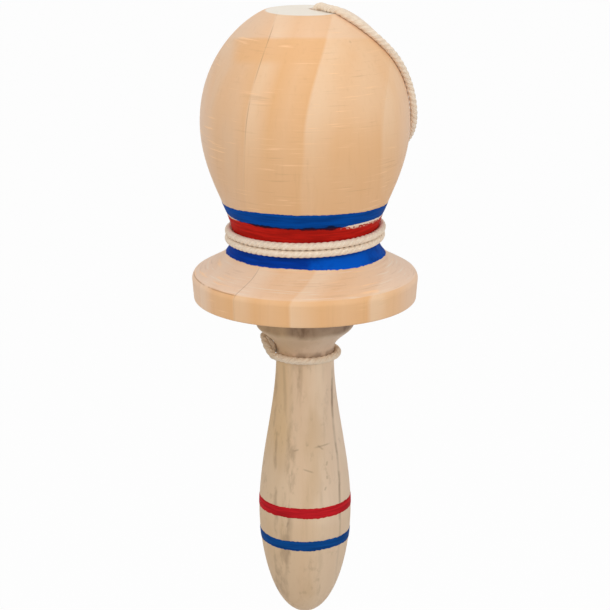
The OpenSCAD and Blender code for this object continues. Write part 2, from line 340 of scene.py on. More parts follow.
def bell_tones(net, bell, wood, rings, along, spot, on_flare):
    """Ripe blotches; a paler, pinker tint painted as top light on the flare and the top of the head and as a
    reflection of the white surround on the sides; and a ripe belt below the top.
    """
    x, y, z = spot
    blotch = net.between(net.grain(along, 0.3, 55.0, 3.0), 0.4, 0.68)
    wood = net.tint(wood, bell.late, blotch, net.slope(on_flare, -0.45, 0.45))
    # Painted top light on the flare, stronger towards the sides
    outward = net.between(net.off(x, 0.004), 0.01, 0.028)
    wood = net.tint(wood, bell.highlit, on_flare, net.slope(outward, 0.4, 0.32))
    # Painted reflection of the white surround down both sides
    wood = net.tint(wood, bell.highlit, net.between(net.off(x, 0.0), 0.029, 0.037), 0.6)
    # Painted top light on the upward-facing top of the head, lower at the back
    level = net.slope(y, 0.15, z)
    wood = net.tint(wood, bell.highlit, net.between(level, 0.171, 0.1725), 0.3)
    belt = net.times(net.between(level, 0.162, 0.1655), net.between(level, 0.1725, 0.171),
                     net.between(rings, 7.0, 6.9), net.between(x, -0.026, -0.021))
    return net.tint(wood, bell.late, belt, 0.8)


def bell_tool_marks(net, bell, wood, place, stroke, radius, on_flare):
    """Pale and dull strokes round the bell, and the marks of turning on its flare."""
    patchy = net.between(net.noise(place, 45.0), 0.45, 0.62)
    wood = net.tint(wood, bell.stroke, net.between(stroke, 0.6, 0.74), net.slope(patchy, 0.62, 0.08))
    wood = net.tint(wood, bell.line, net.between(stroke, 0.38, 0.28), net.slope(patchy, 0.12, 0.03))
    outwards = net.joined(z=net.times(radius, 1500.0))
    turning = net.noise(net.vector("ADD", net.vector("MULTIPLY", place, (70, 70, 0)), outwards), 1.0)
    wood = net.tint(wood, bell.pale_wood_and_highlight, net.times(net.between(turning, 0.58, 0.72), on_flare), 0.3)
    return net.tint(wood, bell.line, net.times(net.between(turning, 0.4, 0.3), on_flare), 0.13)


def bell_flaws(net, bell, wood, place, rings, along, spot):
    """A clean strip between two bands, a crack at the counted ring, specks and a split at the rim."""
    x, y, z = spot
    front = net.math("LESS_THAN", y, 0.0)
    strip = net.times(net.between(z, 0.1098, 0.1104), net.between(z, 0.1126, 0.112),
                      net.between(x, 0.008, 0.014))
    wood = net.tint(wood, bell.pale_wood_and_highlight, strip, 0.6)
    crack = net.between(net.off(rings, COUNTED_RING - 0.008), 0.014, 0.003)
    broken = net.between(net.grain(along, 0.5, 75.0), 0.38, 0.62)
    deep = net.slope(net.between(z, 0.088, 0.09), 0.34, 0.12)
    wood = net.tint(wood, bell.line, net.times(crack, broken, front), deep)
    cells = net.node("ShaderNodeTexVoronoi", {"Vector": net.vector("MULTIPLY", along, (1, 1, 0.4)),
                                              "Scale": 120.0}).outputs
    lot = net.node("ShaderNodeSeparateColor", {0: cells["Color"]}).outputs[0]
    speck = net.times(net.between(cells["Distance"], 0.1, 0.02), net.math("GREATER_THAN", lot, 0.92))
    wood = net.tint(wood, bell.line, speck, 0.4)
    edge = net.between(net.off(z, UNDERSIDE + bell.rim + 0.0004), 0.0003, 0.0)
    jagged = net.between(net.noise(place, 240.0), 0.38, 0.52)
    split = net.times(net.between(x, -0.0225, -0.025), front, jagged, edge)
    return net.tint(wood, bell.line, split, 0.6)


def bell_top(net, bell, wood, radius, spot):
    """Painted highlights of the top light on the pale shoulder beside the cord and on the pale flat on top.
    """
    x, y, z = spot
    top, facet = UNDERSIDE + bell.height, bell.facet / 2
    # Painted highlight of the top light on the shoulder beside the cord, over pale wood
    shoulder = net.times(net.between(z, UNDERSIDE + 0.086, UNDERSIDE + 0.098), net.between(x, 0.006, 0.016),
                         net.between(y, -0.012, -0.006))
    wood = net.tint(wood, bell.pale_wood_and_highlight, shoulder, 0.5)
    # Painted highlight of the top light on the flat on top
    flat = net.times(net.between(z, top - 0.0004, top - 0.0001), net.between(radius, facet, facet - 0.0009))
    return net.tint(wood, bell.pale_wood_and_highlight, flat, 0.85)


def bell_wood(bell):
    """Pale pine with broad leaning rings, fine grain and faint tool strokes, with painted highlights on its
    top, flare and sides.
    """
    material, net, shader, place = new_finish("bell_wood")
    # The rings draw back towards the waist
    z = net.parts(place)[2]
    drawn_back = net.times(net.between(z, 0.142, 0.113), net.between(z, 0.1, 0.104), -0.0065)
    bent = net.vector("ADD", place, net.joined(y=drawn_back))
    rings, along = growth(net, bent, pith=(-0.048, 0.0061), lean=(-0.007, -0.068), ring=0.0191, start=0.0401,
                          warp=0.0016)
    spot = net.parts(bent)
    radius = net.reach(net.vector("MULTIPLY", place, (1, 1, 0)))
    rim = UNDERSIDE + bell.rim
    on_flare = net.times(net.between(z, rim + 0.0004, rim + 0.0007),
                         net.between(z, UNDERSIDE + 0.019, UNDERSIDE + 0.0155))
    fibre = net.grain(along, 0.025, 800.0, 4.0, 0.6)
    stroke = net.noise(net.vector("MULTIPLY", place, (75, 75, 1700)), 1.0)
    wood = bell_rings(net, bell, rings, z)
    wood = bell_tones(net, bell, wood, rings, along, spot, on_flare)
    wood = net.tint(wood, bell.line, net.between(fibre, 0.52, 0.8), 0.08)
    wood = bell_tool_marks(net, bell, wood, place, stroke, radius, on_flare)
    wood = bell_flaws(net, bell, wood, place, rings, along, spot)
    wood = bell_top(net, bell, wood, radius, spot)
    relief = net.math("ADD", net.times(fibre, 0.5), net.times(stroke, 0.6))
    set_surface(net, shader, wood, net.slope(fibre, 0.2, 0.46), 0.4, relief)
    return material


# Stains down the handle's front: place across it, lean, width, seed and depth of colour
STAINS = ((-0.0067, 0.075, 0.0028, 0, 0.34), (-0.0104, 0.0, 0.0010, 11, 0.32),
          (-0.0066, -0.01, 0.0009, 23, 0.2), (0.0060, 0.03, 0.0014, 37, 0.12))

# Scratches on the handle's front: place across it, height, turn in degrees and half length
SCRATCHES = ((0.0061, 0.0281, 7, 0.0034), (0.0055, 0.0276, -42, 0.0017), (0.0012, 0.0195, -19, 0.0025),
             (-0.0032, 0.0268, 20, 0.0013), (0.0078, 0.0215, 80, 0.0010), (0.0079, 0.0165, 97, 0.0009),
             (0.0073, 0.0125, 68, 0.0009), (-0.0063, -0.0009, 78, 0.0015))


def stain(net, place, spot, across, lean, width, seed):
    """One broken stain that runs along the grain of the front."""
    x, y, z = spot
    aside = net.slope(z, -lean, net.math("SUBTRACT", x, across))
    beside = net.math("ABSOLUTE", net.math("ADD", aside, net.waver(place, 70.0 + seed, 0.003)))
    torn = net.between(net.grain(place, 0.3, 210.0 + seed, 4.0, 0.65), 0.42, 0.6)
    return net.times(net.between(beside, width, 0.15 * width), torn, net.math("LESS_THAN", y, 0.0))


def scratch(net, spot, across, height, turn, half):
    """One straight scratch on the front."""
    x, y, z = spot
    over, above = net.math("SUBTRACT", x, across), net.math("SUBTRACT", z, height)
    c, s = math.cos(math.radians(turn)), math.sin(math.radians(turn))
    lengthways = net.math("ABSOLUTE", net.slope(over, c, net.times(above, s)))
    sideways = net.math("ABSOLUTE", net.slope(above, c, net.times(over, -s)))
    return net.times(net.between(sideways, 0.00045, 0.0001), net.between(lengthways, half, 0.4 * half),
                     net.math("LESS_THAN", y, 0.0))


def handle_tones(net, handle, wood, along, spot):
    """Sallow patches, a yellowed left side, a rosier right side and a sallow butt."""
    x, z = spot[0], spot[2]
    patch = net.between(net.grain(along, 0.3, 95.0, 3.0), 0.42, 0.68)
    waxy = net.times(net.between(x, -0.003, -0.008), net.between(z, 0.018, 0.034))
    for rgb, mask, share in ((handle.sallow, patch, 0.7),
                             (handle.sallow, net.between(x, 0.0, -0.013), 0.5),
                             (handle.rosy, net.between(x, 0.001, 0.012), 0.6),
                             (handle.wax, waxy, 0.55),
                             (handle.sallow, net.between(z, 0.004, -0.004), 0.35)):
        wood = net.tint(wood, rgb, mask, share)
    return wood


def handle_marks(net, handle, wood, place, along, spot):
    """A dark ring line that bows down the right of the front, with stains, scratches and scuffs."""
    x, y, z = spot
    bow = net.slope(net.between(z, 0.045, 0.005), 0.003, 0.0097)
    bow = net.slope(net.between(z, 0.0, -0.03), -0.0016, bow)
    wandering = net.math("ADD", x, net.waver(along, 60.0, 0.0012))
    patchy = net.slope(net.between(net.noise(place, 130.0, 3.0), 0.4, 0.62), 0.65, 0.35)
    dark_ring = net.times(net.between(net.off(wandering, bow), 0.0006, 0.0001), net.math("LESS_THAN", y, 0.0),
                          patchy)
    fading = net.times(net.slope(net.between(z, -0.02, 0.03), 0.5, 0.16), net.between(z, 0.056, 0.053))
    wood = net.tint(wood, handle.line, dark_ring, fading)
    below_loop = net.between(z, 0.0595, 0.055)
    for across, lean, width, seed, depth in STAINS:
        stained = net.times(stain(net, place, spot, across, lean, width, seed), below_loop)
        wood = net.tint(wood, handle.line, stained, depth)
    for across, height, turn, half in SCRATCHES:
        wood = net.tint(wood, handle.line, scratch(net, spot, across, height, turn, half), 0.3)
    scuff = net.between(net.grain(place, 0.6, 300.0, 4.0, 0.6), 0.58, 0.72)
    return net.tint(wood, handle.line, scuff, 0.2)


def collar_dirt_and_shade(net, handle, wood, place, spot):
    """A cove with painted shade under the collar, dirt beside the cord's loop, and a collar darkened all
    round by painted shade from the flange, with dirt most in the middle and at the right.
    """
    x, y, z = spot
    collar_top = UNDERSIDE + SEAT
    # Painted shade in the cove under the collar
    cove = net.times(net.between(z, 0.059, 0.061), net.between(z, 0.071, 0.068))
    wood = net.tint(wood, handle.cove_shade, cove, 0.3)
    by_loop = net.times(net.between(z, 0.0628, 0.0608), net.between(z, 0.0582, 0.059),
                        net.between(net.noise(place, 240.0, 3.0), 0.36, 0.6))
    wood = net.tint(wood, handle.grime_and_shade, by_loop, 0.5)
    # Painted shade of the flange: the collar's side is darkened all round, less on the left
    uneven = net.math("ADD", z, net.waver(place, 110.0, 0.003))
    collar = net.times(net.between(uneven, 0.0682, 0.0712), net.between(z, collar_top + 0.0006, collar_top))
    wood = net.tint(wood, handle.line, collar, net.slope(net.between(x, -0.004, -0.009), -0.2, 0.62))
    # Darker blotches and smears on the collar's front: dirt, deepened by painted shade
    blots = net.between(net.grain(place, 0.8, 150.0, 3.0), 0.4, 0.72)
    smears = net.math("MAXIMUM", net.between(net.off(x, -0.0012), 0.007, 0.0005),
                      net.between(x, 0.0118, 0.0145))
    rubbed = net.between(net.grain(place, 0.45, 420.0, 3.0), 0.36, 0.62)
    front = net.times(smears, net.math("LESS_THAN", y, 0.0), net.slope(rubbed, 0.6, 0.25))
    grime_and_shade = net.times(collar, net.math("MAXIMUM", front, net.times(blots, 0.4)))
    return net.tint(wood, handle.grime_and_shade, grime_and_shade, 0.8)


def handle_wood(handle):
    """Greyer wood with a dark ring line down its right side, grey stains, and a collar darkened by dirt and
    by painted shade under the flange.
    """
    material, net, shader, place = new_finish("handle_wood")
    rings, along = growth(net, place, pith=(-0.06, -0.03), lean=(0.0, 0.0), ring=0.03, start=0.0745,
                          warp=0.0012)
    spot = net.parts(place)
    fibre = net.grain(along, 0.03, 800.0, 4.0, 0.6)
    wood = ring_tone(net, rings, ((0.0, handle.early), (0.3, handle.early), (0.55, handle.late),
                                  (0.8, handle.early), (0.95, handle.late), (1.0, handle.early)))
    wood = net.tint(wood, handle.line, net.between(fibre, 0.5, 0.78), 0.16)
    wood = handle_tones(net, handle, wood, along, spot)
    wood = handle_marks(net, handle, wood, place, along, spot)
    wood = collar_dirt_and_shade(net, handle, wood, place, spot)
    set_surface(net, shader, wood, net.slope(fibre, 0.2, 0.5), 0.35, fibre)
    return material


# Colours of the dark lap of two coats and of the wood under worn paint, as shares of light
LAP_DARK = (0.006, 0.004, 0.012)
WORN_WOOD = (0.8, 0.6, 0.45)

# What a band's mesh carries: the depth below its top edge, the distance from its seam with another band and
# the width of the dark lap at that seam
BAND_DEPTHS = ("top", "seam", "lap")


def paint(name, rgb, bright=None, worn_from=None):
    """Thin brushed paint, darker where it laps over another band, brighter or worn bare towards +X, and on
    the lower blue a painted shadow of the cord along its top edge.
    """
    material, net, shader, place = new_finish(name)
    x = net.parts(place)[0]
    top, seam, lap = [net.attribute(label) for label in BAND_DEPTHS]
    lit = [min(1, c * 1.15) for c in rgb]
    brush = net.noise(net.vector("MULTIPLY", place, (90, 90, 1300)), 1.0, 3.0)
    tone = net.mix(net.between(brush, 0.3, 0.7), opaque(darker(rgb, 0.72)), opaque(lit))
    tone = net.tint(tone, lit, net.between(net.noise(place, 210.0, 3.0), 0.55, 0.75), 0.25)
    if bright is not None:
        spread = net.slope(net.noise(place, 150.0, 3.0), 0.024, net.math("SUBTRACT", x, 0.012))
        tone = net.tint(tone, bright, net.between(spread, 0.0, 0.009))
        cloudy = net.between(net.noise(place, 190.0, 3.0), 0.42, 0.66)
        tone = net.tint(tone, darker(rgb, 0.35), net.between(x, 0.018, 0.026), net.slope(cloudy, 0.5, 0.3))
        # Painted shadow of the cord's turns along the lower blue's top edge
        tone = net.tint(tone, darker(rgb, 0.3), net.between(top, 0.0032, 0.0018), 0.6)
    ragged_lap = net.math("ADD", net.waver(place, 420.0, 0.0008), lap)
    smudge = net.between(net.math("SUBTRACT", ragged_lap, seam), 0.0, 0.0003)
    tone = net.tint(tone, LAP_DARK, smudge, 0.9)
    if worn_from is not None:
        specks = net.between(net.grain(place, 1.5, 900.0), 0.5, 0.6)
        worn = net.times(net.between(x, worn_from, worn_from + 0.006), specks,
                         net.between(top, 0.0011, 0.0002))
        tone = net.tint(tone, WORN_WOOD, worn, 0.9)
    set_surface(net, shader, tone, net.slope(brush, 0.2, 0.5), 0.03, brush, depth=0.0001)
    return material


def cotton(cord):
    """Soft cotton whose fibres run along the strands, darker and greyer from the flange down and most at the
    knot.
    """
    material, net, shader, place = new_finish("cord_cotton")
    x, y, z = net.parts(place)
    lengthways = net.joined(z=net.times(net.attribute("along"), 130.0))
    round_strand = net.vector("MULTIPLY", net.attribute("around", "Vector"), (5, 5, 5))
    fibre = net.noise(net.vector("ADD", round_strand, lengthways), 1.6, 4.0, 0.65)
    tone = net.mix(net.between(fibre, 0.35, 0.68), opaque(cord.shade), opaque(cord.cotton))
    tone = net.tint(tone, cord.shade, net.between(net.noise(place, 900.0, 3.0), 0.56, 0.75), 0.35)
    # Darker and greyer from the flange down, most of all at the knot
    below_flange = net.between(z, UNDERSIDE + 0.005, UNDERSIDE - 0.015)
    tied = net.times(net.between(x, -0.0095, -0.0125), net.between(y, 0.009, 0.005), below_flange)
    for mask, share in ((below_flange, 0.55), (tied, 0.75)):
        tone = net.mix(net.times(mask, share), tone, opaque(cord.lower_tint), "MULTIPLY")
    set_surface(net, shader, tone, 0.9, 0.1, fibre, strength=0.6)
    shader.inputs["Sheen Weight"].default_value = 0.15
    shader.inputs["Sheen Roughness"].default_value = 0.6
    return material


def curve(a, b, c, d, steps=40):
    """Points of a smooth curve from a to d that leaves towards b and arrives from c."""
    points = []
    for i in range(steps + 1):
        t = i / steps
        u = 1 - t
        points.append(u * u * u * a + 3 * u * u * t * b + 3 * u * t * t * c + t * t * t * d)
    return points


def eased(before, corner, after, steps=6):
    """Points that ease a corner, from a point before it to a point after it."""
    return curve(before, (before + 2 * corner) / 3, (after + 2 * corner) / 3, after, steps)


def at(radius, z):
    """A point of a profile, given in millimetres."""
    return Vector((radius, z)) * MM


def bell_outline(bell):
    """The bell's outside from the edge of the flat on top to the rim's lower edge.

    Each curve starts and ends along the line to the point beside it, so neighbours meet without a corner.
    """
    edge = Vector((bell.facet / 2, UNDERSIDE + bell.height))
    belly = Vector((bell.belly / 2, UNDERSIDE + bell.belly_height))
    waist = Vector((bell.waist / 2, UNDERSIDE + bell.waist_height))
    corner = Vector((bell.flange / 2, UNDERSIDE + bell.rim))
    draft, broken = 0.7 * MM, 0.8 * MM
    foot = Vector((corner.x - draft, UNDERSIDE))
    flare_way = at(5.5, -3.7)
    rim_way = (foot - corner).normalized()
    flare_end = corner - 1.2 * MM * flare_way.normalized()
    shoulder = curve(edge, edge + at(9, -4), belly + at(0, 21), belly, 48)
    side = curve(belly, belly - at(0, 18), waist + at(0, 8), waist, 44)
    flare = curve(waist, waist - at(0, 8.7), corner - flare_way, flare_end, 32)
    rim_top = curve(flare_end, flare_end + at(0.45, -0.45), corner - at(0, 0.8),
                    corner + 1.6 * MM * rim_way, 6)
    rim_low = eased(foot - broken * rim_way, foot, foot - Vector((broken, 0)))
    return shoulder + side[1:] + flare[1:] + rim_top[1:] + rim_low


def bell_profile(bell, seat):
    """The bell's whole half section, from its axis on top round to the socket's end on its axis.

    One more ring on the flat and one on the underside keep their faces even.
    """
    outside = bell_outline(bell)
    top, end = UNDERSIDE + bell.height, UNDERSIDE + bell.socket_depth
    soft_edge = eased(outside[0] - at(0.6, 0), outside[0], outside[1], 4)
    socket, seat_z, mouth = bell.socket / 2, UNDERSIDE + SEAT, 1.5 * MM
    flat = [Vector((0, top)), Vector((7 * MM, top))]
    inside = [Vector((30 * MM, UNDERSIDE)), Vector((seat, UNDERSIDE)), Vector((seat, seat_z)),
              Vector((socket + mouth, seat_z)), Vector((socket, seat_z + mouth)),
              Vector((socket, end)), Vector((0, end))]
    return flat + soft_edge + outside[2:] + inside


def handle_outline(handle):
    """The handle's outside from the collar's upper edge to the tip of the butt."""
    corner = Vector((handle.collar / 2, UNDERSIDE + SEAT))
    low = corner - Vector((0, handle.collar_height))
    cove_height = 9.5 * MM
    neck_top = Vector((handle.neck / 2, low.y - cove_height))
    neck_low = neck_top - Vector((0, handle.neck_height))
    wide = Vector((handle.grip / 2, 0))
    tip = Vector((0, -handle.butt))
    edge = eased(corner - at(1, 0), corner, corner - at(0, 1), 5)
    cove = curve(low, low - at(0, 2.4), neck_top + at(0, 4.7), neck_top, 24)
    swell = curve(neck_low, neck_low - at(0, 18.5), wide + at(0, 20), wide, 44)
    butt = curve(wide, wide - at(0, 16.3), tip + at(11.5, 0), tip, 40)
    return edge + cove + swell + butt[1:]


def handle_profile(handle):
    """The handle's whole half section, from the peg's tip to the butt's."""
    collar_z, rounding = UNDERSIDE + SEAT, 5 * MM
    tip = Vector((0, collar_z + handle.peg_height))
    tip_r = handle.peg_tip / 2
    peg = eased(tip, tip + Vector((tip_r, 0)), tip + Vector((tip_r, -rounding)), 14)
    return peg + [Vector((handle.peg / 2, collar_z))] + handle_outline(handle)


def radius_at(outline, z):
    """Radius of a turned side at a height."""
    for a, b in zip(outline, outline[1:]):
        if min(a.y, b.y) <= z <= max(a.y, b.y) and a.y != b.y:
            return a.x + (b.x - a.x) * (z - a.y) / (b.y - a.y)
    raise ValueError(f"no side at height {z:.4f}")


def laid_on(point, outline, stand):
    """The point moved straight towards or away from a turned side until it stands that far off it."""
    here = Vector((math.hypot(point.x, point.y), point.z))
    near, least = None, math.inf
    for a, b in zip(outline, outline[1:]):
        span = b - a
        if span.length_squared == 0:
            continue
        t = max(0, min(1, (here - a).dot(span) / span.length_squared))
        gap = (here - a - t * span).length
        if gap < least:
            near, least = a + t * span, gap
    there = near + (here - near).normalized() * stand
    return Vector((point.x / here.x * there.x, point.y / here.x * there.x, there.y))


def smooth_path(points, step):
    """Points at equal steps along one smooth curve through the given points."""
    ends = [2 * points[0] - points[1]] + points + [2 * points[-1] - points[-2]]
    dense = [points[0]]
    for p0, p1, p2, p3 in zip(ends, ends[1:], ends[2:], ends[3:]):
        t1 = math.sqrt((p1 - p0).length)
        t2 = t1 + math.sqrt((p2 - p1).length)
        t3 = t2 + math.sqrt((p3 - p2).length)
        pieces = max(2, math.ceil((p2 - p1).length / (0.25 * step)))
        for i in range(1, pieces + 1):
            t = t1 + (t2 - t1) * i / pieces
            a1 = (t1 - t) / t1 * p0 + t / t1 * p1
            a2 = (t2 - t) / (t2 - t1) * p1 + (t - t1) / (t2 - t1) * p2
            a3 = (t3 - t) / (t3 - t2) * p2 + (t - t2) / (t3 - t2) * p3
            b1 = (t2 - t) / t2 * a1 + t / t2 * a2
            b2 = (t3 - t) / (t3 - t1) * a2 + (t - t1) / (t3 - t1) * a3
            dense.append((t2 - t) / (t2 - t1) * b1 + (t - t1) / (t2 - t1) * b2)
    spaced, left = [dense[0]], step
    for a, b in zip(dense, dense[1:]):
        span = (b - a).length
        done = 0.0
        while span - done >= left:
            done += left
            spaced.append(a + (b - a) * (done / span))
            left = step
        left -= span - done
    return spaced + [dense[-1]]


def relaxed(points, last, passes):
    """The path with its sharp bends eased, up to one of its points."""
    for _ in range(passes):
        eased_part = [(a + 2 * b + c) / 4 for a, b, c in zip(points, points[1:last], points[2:])]
        points = points[:1] + eased_part + points[last:]
    return points


def wire(name, points):
    """A mesh of one open line through the points."""
    mesh = bpy.data.meshes.new(name)
    mesh.from_pydata([tuple(p) for p in points], [(i, i + 1) for i in range(len(points) - 1)], [])
    return mesh


def new_tree(name, inputs):
    """A geometry tree with these inputs, its net and its group input."""
    tree = bpy.data.node_groups.new(name, "GeometryNodeTree")
    tree.interface.new_socket("Geometry", in_out="OUTPUT", socket_type="NodeSocketGeometry")
    tree.interface.new_socket("Geometry", in_out="INPUT", socket_type="NodeSocketGeometry")
    for label, kind in inputs:
        tree.interface.new_socket(label, in_out="INPUT", socket_type=kind)
    net = Net(tree)
    return tree, net, net.node("NodeGroupInput").outputs


def close_tree(net, geometry, material):
    """Ends a tree in plain geometry with its material."""
    real = net.node("GeometryNodeRealizeInstances", {0: geometry}).outputs[0]
    dressed = net.node("GeometryNodeSetMaterial", {"Geometry": real, "Material": material}).outputs[0]
    net.node("NodeGroupOutput", {0: dressed})


def turning_tree():
    """Sweeps a half section round the axis, as a lathe does."""
    tree, net, given = new_tree("Turning", [("Facets", "NodeSocketInt"), ("Rail", "NodeSocketFloat"),
                                            ("Material", "NodeSocketMaterial")])
    section = net.node("GeometryNodeMeshToCurve", {0: given["Geometry"]}).outputs[0]
    ring = net.node("GeometryNodeCurvePrimitiveCircle",
                    {"Resolution": given["Facets"], "Radius": given["Rail"]}).outputs[0]
    rail = net.node("GeometryNodeSetCurveNormal", {0: ring}, mode="Z_UP").outputs[0]
    swept = net.node("GeometryNodeCurveToMesh", {"Curve": rail, "Profile Curve": section}).outputs[0]
    welded = net.node("GeometryNodeMergeByDistance", {"Geometry": swept, "Distance": 0.00001}).outputs[0]
    close_tree(net, welded, given["Material"])
    return tree


def twisted_cord_tree():
    """Lays three round strands of a cord along a line, turning once in each lay."""
    tree, net, given = new_tree("Twisted cord", [
        ("Diameter", "NodeSocketFloat"), ("Lay", "NodeSocketFloat"), ("Ring spacing", "NodeSocketFloat"),
        ("Points round", "NodeSocketInt"), ("Material", "NodeSocketMaterial")])
    line = net.node("GeometryNodeMeshToCurve", {0: given["Geometry"]}).outputs[0]
    line = net.node("GeometryNodeResampleCurve", {"Curve": line, "Length": given["Ring spacing"]},
                    mode="LENGTH").outputs[0]
    line = net.node("GeometryNodeSetCurveNormal", {0: line}, mode="MINIMUM_TWIST").outputs[0]
    travelled = net.node("GeometryNodeSplineParameter").outputs["Length"]
    turn = net.times(net.math("DIVIDE", travelled, given["Lay"]), -math.tau)
    line = net.node("GeometryNodeSetCurveTilt", {"Curve": line, "Tilt": turn}).outputs[0]
    line = net.node("GeometryNodeStoreNamedAttribute",
                    {"Geometry": line, "Name": "along", "Value": travelled},
                    data_type="FLOAT", domain="POINT").outputs[0]
    circle = net.node("GeometryNodeCurvePrimitiveCircle",
                      {"Resolution": given["Points round"], "Radius": 1.0}).outputs[0]
    # The outline of three discs that overlap, each a strand, as shares of the cord's radius
    strand, stand_off = 0.72, 0.28
    angle = net.times(net.node("GeometryNodeSplineParameter").outputs["Factor"], math.tau)
    lobe = net.math("WRAP", angle, math.pi / 3, -math.pi / 3)
    off = net.times(net.math("SINE", lobe), stand_off)
    chord = net.math("SQRT", net.math("SUBTRACT", strand ** 2, net.times(off, off)))
    reach = net.slope(net.math("COSINE", lobe), stand_off, chord)
    reach = net.times(reach, net.times(given["Diameter"], 0.5))
    rim = net.node("GeometryNodeInputPosition").outputs[0]
    circle = net.node("GeometryNodeStoreNamedAttribute",
                      {"Geometry": circle, "Name": "around", "Value": rim},
                      data_type="FLOAT_VECTOR", domain="POINT").outputs[0]
    scaled = net.node("ShaderNodeVectorMath", {0: rim, "Scale": reach}, operation="SCALE").outputs[0]
    strands = net.node("GeometryNodeSetPosition", {"Geometry": circle, "Position": scaled}).outputs[0]
    tube = net.node("GeometryNodeCurveToMesh",
                    {"Curve": line, "Profile Curve": strands, "Fill Caps": True}).outputs[0]
    tube = net.node("GeometryNodeSetShadeSmooth", {0: tube}).outputs[0]
    close_tree(net, tube, given["Material"])
    return tree


def made_by(tree, name, source, cutters=(), **inputs):
    """A plain mesh object made by running a tree on a mesh, less its cutters."""
    maker = bpy.data.objects.new(name, source)
    bpy.context.scene.collection.objects.link(maker)
    modifier = maker.modifiers.new(tree.name, "NODES")
    modifier.node_group = tree
    for item in tree.interface.items_tree:
        key = item.name.lower().replace(" ", "_")
        if item.in_out == "INPUT" and key in inputs:
            modifier[item.identifier] = inputs[key]
    for cutter in cutters:
        cut = maker.modifiers.new("Cord hole", "BOOLEAN")
        cut.operation, cut.solver, cut.object = "DIFFERENCE", "EXACT", cutter
    graph = bpy.context.evaluated_depsgraph_get()
    mesh = bpy.data.meshes.new_from_object(maker.evaluated_get(graph), depsgraph=graph)
    bpy.data.objects.remove(maker)
    for cutter in cutters:
        bpy.data.objects.remove(cutter)
    mesh.name = name
    mesh.materials.clear()
    mesh.materials.append(inputs["material"])
    mesh.polygons.foreach_set("material_index", [0] * len(mesh.polygons))
    return new_piece(name, mesh)


def new_piece(name, data):
    """An object of a mesh, a camera or a lamp, put into the scene."""
    piece = bpy.data.objects.new(name, data)
    bpy.context.scene.collection.objects.link(piece)
    return piece


def face_outwards(mesh, sharp=None):
    """Turns a closed mesh's faces outwards and shades it smooth, but for edges sharper than an angle."""
    shape = bmesh.new()
    shape.from_mesh(mesh)
    bmesh.ops.recalc_face_normals(shape, faces=shape.faces)
    shape.to_mesh(mesh)
    shape.free()
    mesh.polygons.foreach_set("use_smooth", [True] * len(mesh.polygons))
    if sharp is not None:
        mesh.set_sharp_from_angle(angle=math.radians(sharp))


# Radius of the ring that carries a half section round
RAIL = 60 * MM


def turned(name, profile, facets, finish, cutters=()):
    """A piece turned from its half section, less its cutters."""
    section = [Vector((p.x - RAIL, -p.y, 0)) for p in profile]
    piece = made_by(turning_tree(), name, wire(name + "_section", section), cutters=cutters, facets=facets,
                    rail=RAIL, material=finish)
    face_outwards(piece.data, sharp=32)
    return piece


def round_tube(name, points, radius, sides=32):
    """A closed round tube through the points, for cutting."""
    shape = bmesh.new()
    rings = []
    for i, p in enumerate(points):
        way = (points[min(i + 1, len(points) - 1)] - points[max(i - 1, 0)]).normalized()
        side = way.cross(Vector((0.4, 0.9, 0.2))).normalized()
        over = way.cross(side)
        rings.append([shape.verts.new(p + radius * (math.cos(a) * side + math.sin(a) * over))
                      for a in (math.tau * j / sides for j in range(sides))])
    for low, high in zip(rings, rings[1:]):
        for j in range(sides):
            k = (j + 1) % sides
            shape.faces.new((low[j], low[k], high[k], high[j]))
    shape.faces.new(rings[0][::-1])
    shape.faces.new(rings[-1])
    bmesh.ops.recalc_face_normals(shape, faces=shape.faces)
    mesh = bpy.data.meshes.new(name)
    shape.to_mesh(mesh)
    shape.free()
    return new_piece(name, mesh)


def ragged(angle, seed, waver, jag):
    """How far a brushed edge strays at an angle round the wood."""
    c, s = math.cos(angle), math.sin(angle)
    slow, quick, bristle = [noise.noise(Vector((waves * c, waves * s, seed + shift)))
                            for waves, shift in ((1.7, 0), (16, 3.3), (45, 9.1))]
    return waver * 1.6 * slow + jag * (0.9 * quick + 0.7 * bristle)


def band(name, outline, low, high, coat, material, lap=None, lap_below=False, round_steps=720, up_steps=8):
    """A closed skin of paint on a turned side, between two edges that are heights by angle.

    It lies a little into the wood, and thins out to its edges.
    """
    sunk, thinned = 0.3, 0.55
    shape = bmesh.new()
    layers = [shape.verts.layers.float.new(label) for label in BAND_DEPTHS]
    rings = []
    for i in range(round_steps):
        angle = math.tau * i / round_steps
        z0, z1 = low(angle), high(angle)
        lap_width = lap(angle) if lap else -MM
        ring = []
        for lift in (coat, -sunk * coat):
            column = []
            for j in range(up_steps + 1):
                t = j / up_steps
                z = z0 + (z1 - z0) * t
                thin = 1 if lift < 0 else 1 - thinned * abs(2 * t - 1) ** 6
                r = radius_at(outline, z) + lift * thin
                vert = shape.verts.new((r * math.cos(angle), r * math.sin(angle), z))
                for layer, value in zip(layers, (z1 - z, z - z0 if lap_below else z1 - z, lap_width)):
                    vert[layer] = value
                column.append(vert)
            ring += column if lift > 0 else column[::-1]
        rings.append(ring)
    for a, b in zip(rings, rings[1:] + rings[:1]):
        for j in range(len(a)):
            k = (j + 1) % len(a)
            shape.faces.new((a[j], b[j], b[k], a[k]))
    mesh = bpy.data.meshes.new(name)
    shape.to_mesh(mesh)
    shape.free()
    face_outwards(mesh, sharp=50)
    mesh.materials.append(material)
    return new_piece(name, mesh)


def dress(piece, body, slot, *nodes):
    """Makes a piece ride on its body in place of these solids."""
    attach(piece, body)
    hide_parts(*nodes)
    return piece


# Where the cord's hole stands in the bell, in millimetres, and which way the cord leaves it, in degrees
HOLE_X, HOLE_Y, HOLE_WAY = 3, 3.6, -62

